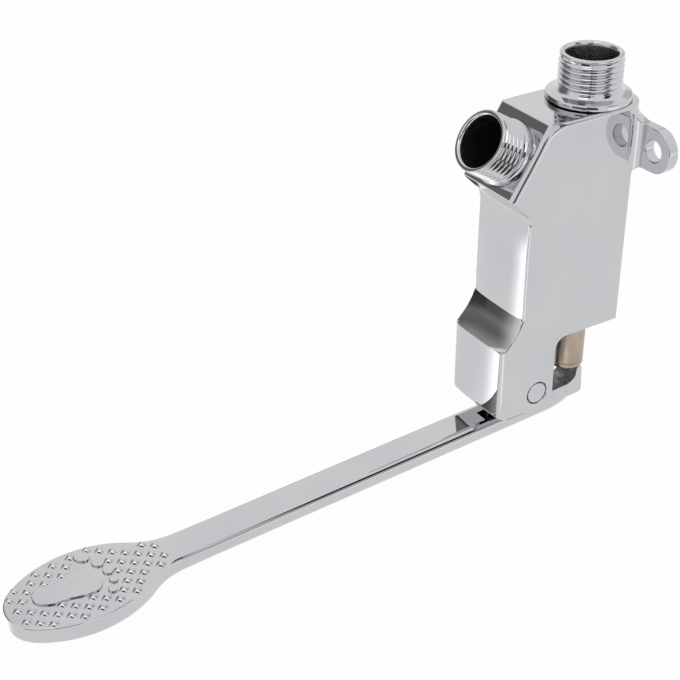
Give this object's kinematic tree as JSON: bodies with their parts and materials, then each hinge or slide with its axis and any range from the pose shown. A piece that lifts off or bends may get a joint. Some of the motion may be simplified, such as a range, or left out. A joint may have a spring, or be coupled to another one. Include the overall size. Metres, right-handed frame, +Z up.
{
  "type": "foot pedal tap valve",
  "caption": "Wall-mounted foot-operated tap valve: chromed column with threaded inlet on top, sloping threaded outlet, and a long pedal with a studded oval pad that lifts a plunger.",
  "frame": {"origin": "midway between the two fixing holes, on the wall plane", "axes": "+Y into the wall, +Z up along the inlet, X across the ears; the pedal reaches towards -Y"},
  "size_m": [0.0568, 0.2242, 0.14],
  "materials": {
    "chrome_plate": "bright chrome plate on cast brass",
    "nickel_bronze": "turned, pale warm nickel bronze",
    "turned_brass": "turned brass",
    "stainless_steel": "turned stainless steel",
    "rubber": "black nitrile rubber",
    "acetal": "natural white acetal"
  },
  "bodies": {
    "valve": {"valve_body": "chrome_plate", "inlet_nipple": "chrome_plate", "inlet_gasket": "rubber", "outlet_nipple": "chrome_plate", "outlet_o_ring": "rubber", "valve_seat": "turned_brass", "gland_bush": "turned_brass", "gland_o_ring": "rubber", "stem_o_rings": "rubber", "return_spring": "stainless_steel", "pivot_pin": "chrome_plate", "pin_clip": "stainless_steel"},
    "pedal": {"pedal_lever": "chrome_plate", "pivot_bush": "turned_brass", "side_washers": "acetal"},
    "plunger": {"plunger": "nickel_bronze", "valve_stem": "stainless_steel", "valve_disc": "turned_brass", "disc_seal": "rubber", "seal_washer": "stainless_steel", "seal_nut": "turned_brass"}
  },
  "joints": [
    {"name": "pedal_hinge", "type": "hinge", "parent": "valve", "child": "pedal", "pos_m": [0, -0.0373, -0.0834], "axis": [1, 0, 0], "range_deg": [0, 8]},
    {"name": "plunger_slide", "type": "slide", "parent": "valve", "child": "plunger", "axis": [0, 0, 1], "range_m": [0, 0.0037], "stiffness_N_per_m": 5400, "springref_m": -0.008, "deforming": ["return_spring"]}
  ],
  "couplings": [
    {"joint": "plunger_slide", "follows": "pedal_hinge", "m_per_rad": 0.02625}
  ]
}
